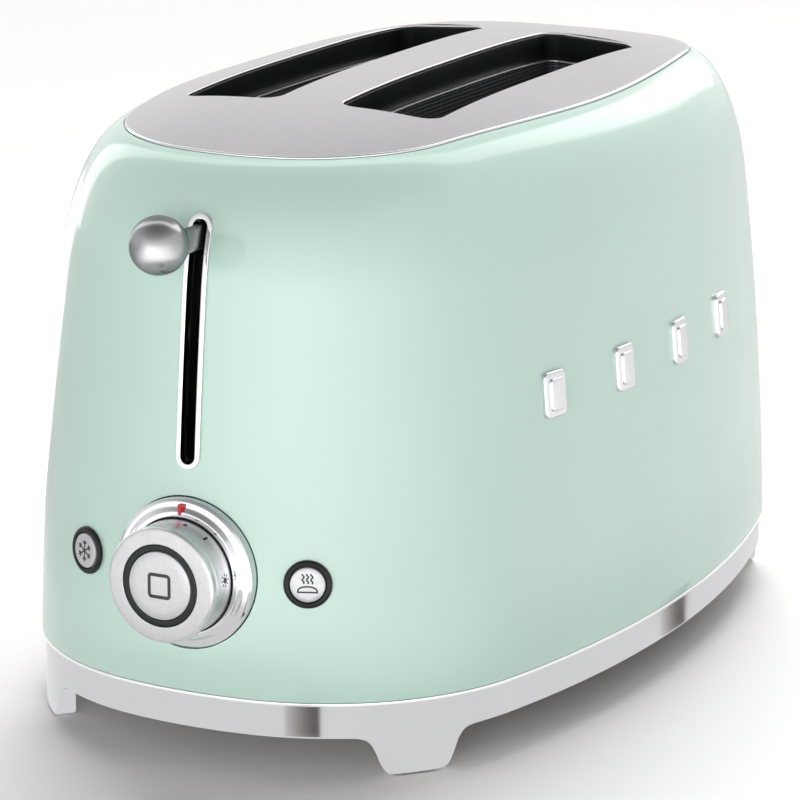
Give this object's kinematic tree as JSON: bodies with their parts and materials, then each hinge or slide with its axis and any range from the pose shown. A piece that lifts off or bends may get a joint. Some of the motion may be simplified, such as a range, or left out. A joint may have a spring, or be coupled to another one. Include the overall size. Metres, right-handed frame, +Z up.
{
  "type": "pop-up toaster",
  "caption": "Rounded pop-up toaster with long bread slots in a domed steel top, a ball-ended slide lever, a browning dial, push buttons and a polished foot band.",
  "frame": {"origin": "on the standing surface, under the middle of the box round the whole object, lever ball included", "axes": "+Z up; -Y towards the control end with the lever and the dial; +X towards the long side with the raised tablets"},
  "size_m": [0.195, 0.346, 0.2],
  "materials": {
    "enamel": "glossy mint green enamel",
    "brushed_steel": "brushed lengthwise",
    "polished_metal": "polished",
    "aluminium": "satin",
    "dark_coating": "heat resistant black",
    "dark_plastic": "smooth",
    "pale_plastic": "smooth",
    "plated_sheet": "zinc plated",
    "mica": "flaky mineral sheet",
    "heater_wire": "oxidised",
    "rubber": "matt grey",
    "circuit_board": "solder mask",
    "copper": "enamelled winding"
  },
  "bodies": {
    "casing": {"body_shell": "enamel", "top_plate": "brushed_steel", "slot_liner_left": "dark_coating", "slot_liner_right": "dark_coating", "base_band": "polished_metal", "foot_pad_rear_right": "rubber", "foot_pad_rear_left": "rubber", "foot_pad_front_left": "rubber", "foot_pad_front_right": "rubber", "base_plate": "plated_sheet", "base_screw_1": "plated_sheet", "base_screw_2": "plated_sheet", "base_screw_3": "plated_sheet", "base_screw_4": "plated_sheet", "cord_gland": "dark_plastic", "lever_slot_trim": "polished_metal", "guide_rod": "polished_metal", "lift_spring": "polished_metal", "electromagnet": "copper", "circuit_board": "circuit_board", "potentiometer": "dark_plastic", "terminal_block": "pale_plastic", "dial_bezel": "polished_metal", "defrost_ring": "dark_plastic", "reheat_ring": "dark_plastic", "side_tablet_1": "polished_metal", "side_tablet_2": "polished_metal", "side_tablet_3": "polished_metal", "side_tablet_4": "polished_metal", "front_frame": "plated_sheet", "rear_frame": "plated_sheet", "heater_board_left_outer": "mica", "heating_ribbon_left_outer": "heater_wire", "heater_board_left_inner": "mica", "heating_ribbon_left_inner": "heater_wire", "heater_board_right_inner": "mica", "heating_ribbon_right_inner": "heater_wire", "heater_board_right_outer": "mica", "heating_ribbon_right_outer": "heater_wire", "heat_shield_left": "plated_sheet", "heat_shield_right": "plated_sheet"},
    "carriage": {"carriage": "plated_sheet", "lever_stem": "polished_metal", "lever_ball": "polished_metal", "bread_lift_left": "plated_sheet", "bread_lift_right": "plated_sheet", "keeper_plate": "plated_sheet"},
    "dial": {"dial_knob": "aluminium", "dial_ring": "dark_plastic", "dial_shaft": "polished_metal"},
    "stop": {"stop_button": "aluminium"},
    "defrost": {"defrost_button": "aluminium"},
    "reheat": {"reheat_button": "aluminium"},
    "tray": {"crumb_tray": "plated_sheet", "tray_handle": "polished_metal"},
    "guide_left_outer": {"bread_guide_left_outer": "plated_sheet"},
    "guide_left_inner": {"bread_guide_left_inner": "plated_sheet"},
    "guide_right_inner": {"bread_guide_right_inner": "plated_sheet"},
    "guide_right_outer": {"bread_guide_right_outer": "plated_sheet"}
  },
  "joints": [
    {"name": "carriage_slide", "type": "slide", "parent": "casing", "child": "carriage", "axis": [0, 0, -1], "range_m": [0, 0.065], "stiffness_N_per_m": 30, "springref_m": -0.15, "deforming": ["lift_spring"]},
    {"name": "guide_left_outer_slide", "type": "slide", "parent": "casing", "child": "guide_left_outer", "axis": [1, 0, 0], "range_m": [0, 0.007]},
    {"name": "guide_left_inner_slide", "type": "slide", "parent": "casing", "child": "guide_left_inner", "axis": [-1, 0, 0], "range_m": [0, 0.007]},
    {"name": "guide_right_inner_slide", "type": "slide", "parent": "casing", "child": "guide_right_inner", "axis": [1, 0, 0], "range_m": [0, 0.007]},
    {"name": "guide_right_outer_slide", "type": "slide", "parent": "casing", "child": "guide_right_outer", "axis": [-1, 0, 0], "range_m": [0, 0.007]},
    {"name": "dial_turn", "type": "hinge", "parent": "casing", "child": "dial", "pos_m": [0, -0.1564, 0.063], "axis": [0, -1, 0], "range_deg": [0, 270]},
    {"name": "stop_push", "type": "slide", "parent": "casing", "child": "stop", "axis": [0, 1, 0], "range_m": [0, 0.0015], "stiffness_N_per_m": 400, "springref_m": -0.002},
    {"name": "defrost_push", "type": "slide", "parent": "casing", "child": "defrost", "axis": [0.3869, 0.9204, -0.0565], "range_m": [0, 0.0012], "stiffness_N_per_m": 400, "springref_m": -0.002},
    {"name": "reheat_push", "type": "slide", "parent": "casing", "child": "reheat", "axis": [-0.3869, 0.9204, -0.0565], "range_m": [0, 0.0012], "stiffness_N_per_m": 400, "springref_m": -0.002},
    {"name": "tray_slide", "type": "slide", "parent": "casing", "child": "tray", "axis": [0, 1, 0], "range_m": [0, 0.2]}
  ],
  "couplings": [
    {"joint": "guide_left_outer_slide", "follows": "carriage_slide", "ratio": 0.107},
    {"joint": "guide_left_inner_slide", "follows": "carriage_slide", "ratio": 0.107},
    {"joint": "guide_right_inner_slide", "follows": "carriage_slide", "ratio": 0.107},
    {"joint": "guide_right_outer_slide", "follows": "carriage_slide", "ratio": 0.107}
  ]
}
